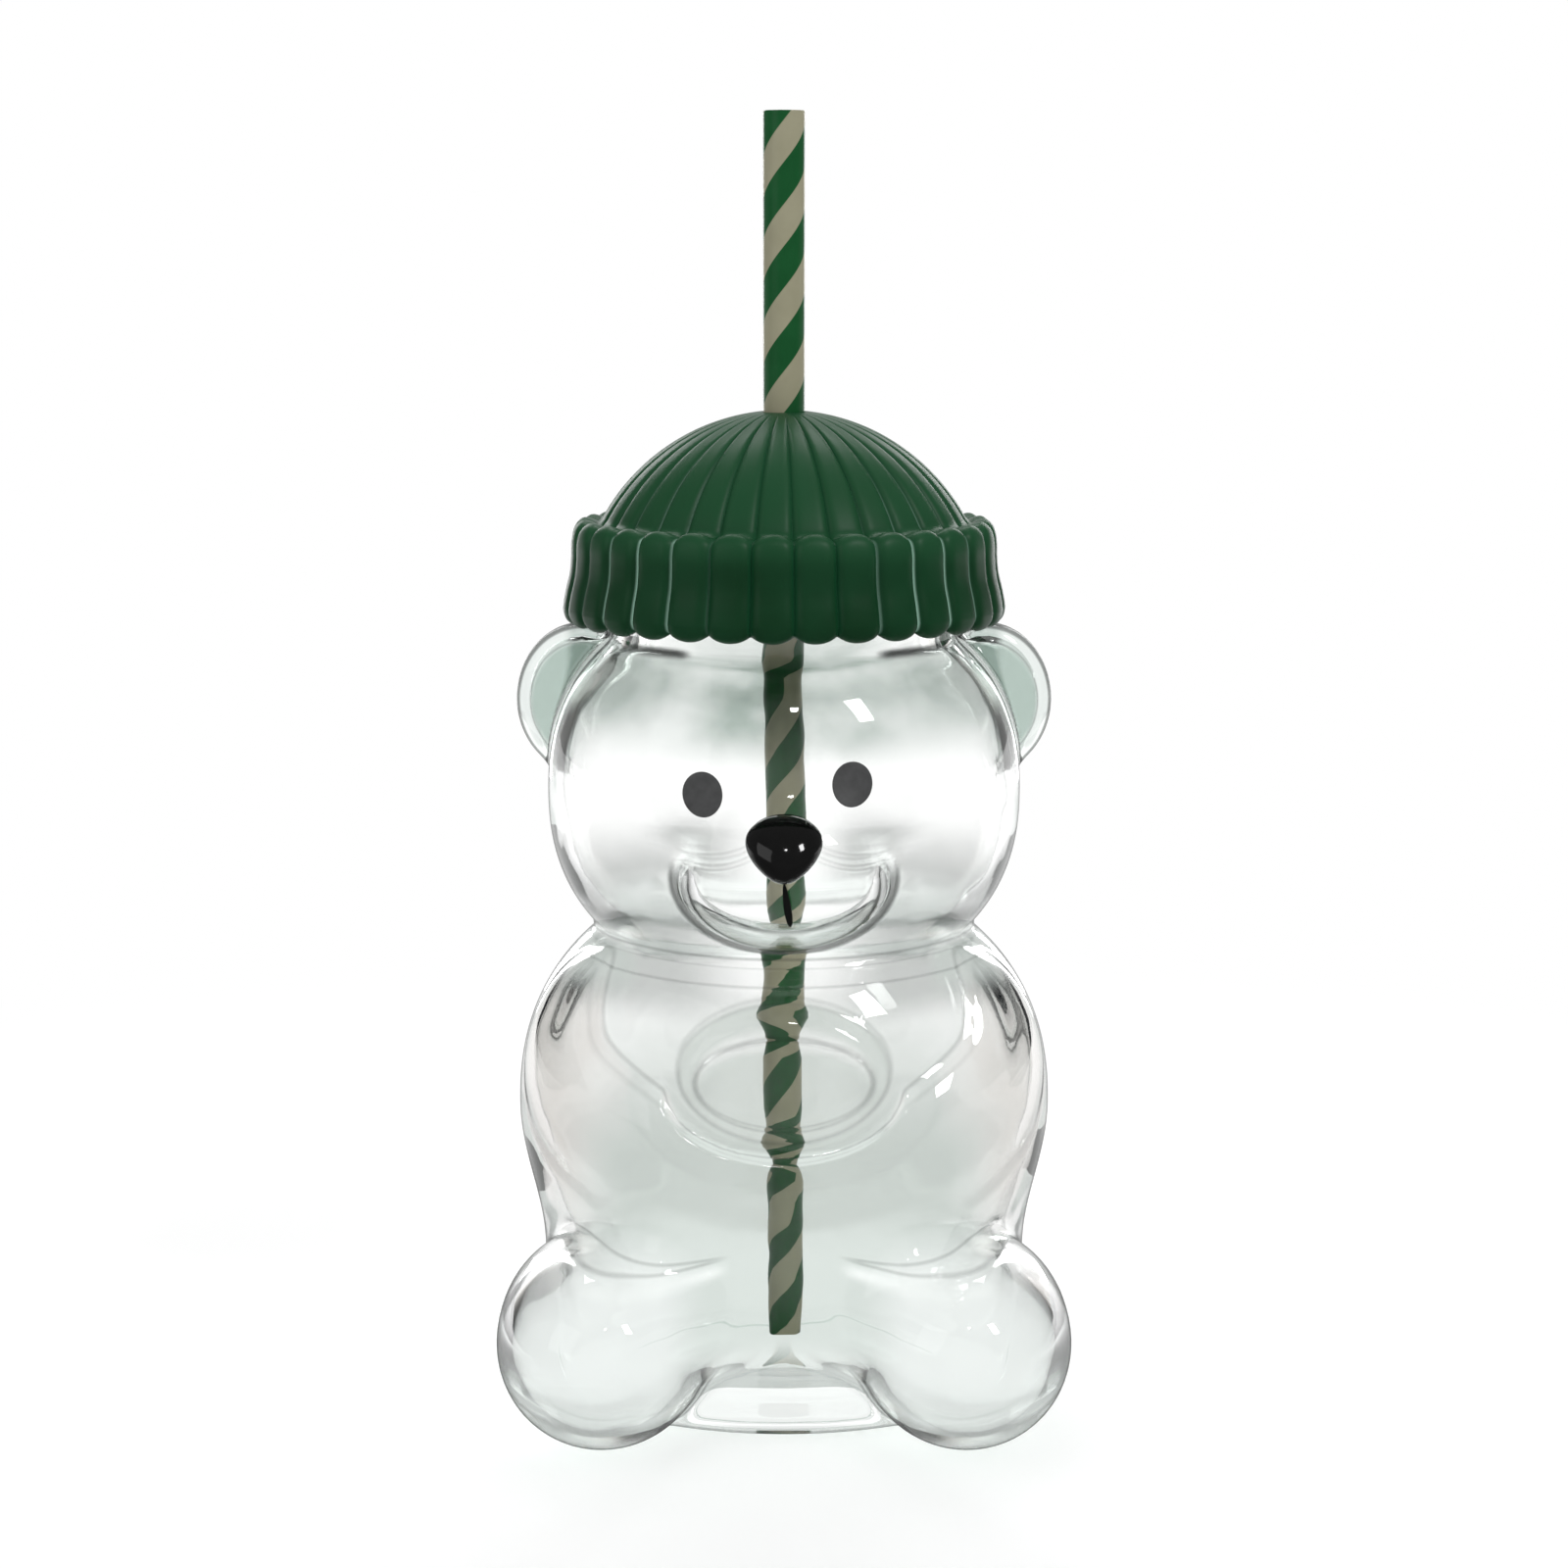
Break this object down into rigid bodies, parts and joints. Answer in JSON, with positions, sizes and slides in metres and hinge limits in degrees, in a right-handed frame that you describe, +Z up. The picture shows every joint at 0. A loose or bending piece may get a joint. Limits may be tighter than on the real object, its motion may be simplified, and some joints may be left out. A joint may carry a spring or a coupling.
{
  "type": "bear-shaped glass cup with lid and straw",
  "caption": "Clear glass cup shaped as a seated bear, with a ribbed green beanie lid and an upright striped straw.",
  "frame": {"origin": "on the table, under the middle of the whole assembly's width and depth", "axes": "+Z up along the straw, -Y out of the bear's face, +X towards the right of the picture"},
  "size_m": [0.1024, 0.1028, 0.2342],
  "materials": {
    "clear_glass": "clear, slightly grey-green blown glass, polished all over",
    "black_gloss": "glossy black enamel, moulded proud of the glass",
    "print_ink": "dark, slightly see-through printed ink",
    "green_plastic": "satin dark green, moulded with knitted-looking ribs",
    "pale_silicone": "soft translucent silicone, matt",
    "striped_plastic": "semi-gloss tube with green and cream stripes of equal width wound round it"
  },
  "bodies": {
    "glass": {"glass_bear": "clear_glass", "nose": "black_gloss", "eye_left": "print_ink", "eye_right": "print_ink", "mouth_line": "print_ink"},
    "seal": {"lid_seal": "pale_silicone"},
    "lid": {"lid_beanie": "green_plastic", "lid_insert": "green_plastic"},
    "grommet": {"straw_grommet": "pale_silicone"},
    "straw": {"straw": "striped_plastic"}
  },
  "joints": [
    {"name": "lid_lift", "type": "slide", "parent": "glass", "child": "seal", "axis": [0, 0, 1], "range_m": [0, 0.16]},
    {"name": "lid_turn", "type": "hinge", "parent": "seal", "child": "lid", "pos_m": [0, 0.00856, 0.1513], "axis": [0, 0, 1], "continuous": true},
    {"name": "straw_turn", "type": "hinge", "parent": "lid", "child": "grommet", "pos_m": [0, 0.00856, 0.1593], "axis": [0, 0, 1], "continuous": true},
    {"name": "straw_slide", "type": "slide", "parent": "grommet", "child": "straw", "axis": [0, 0, 1], "range_m": [0, 0.185]}
  ]
}
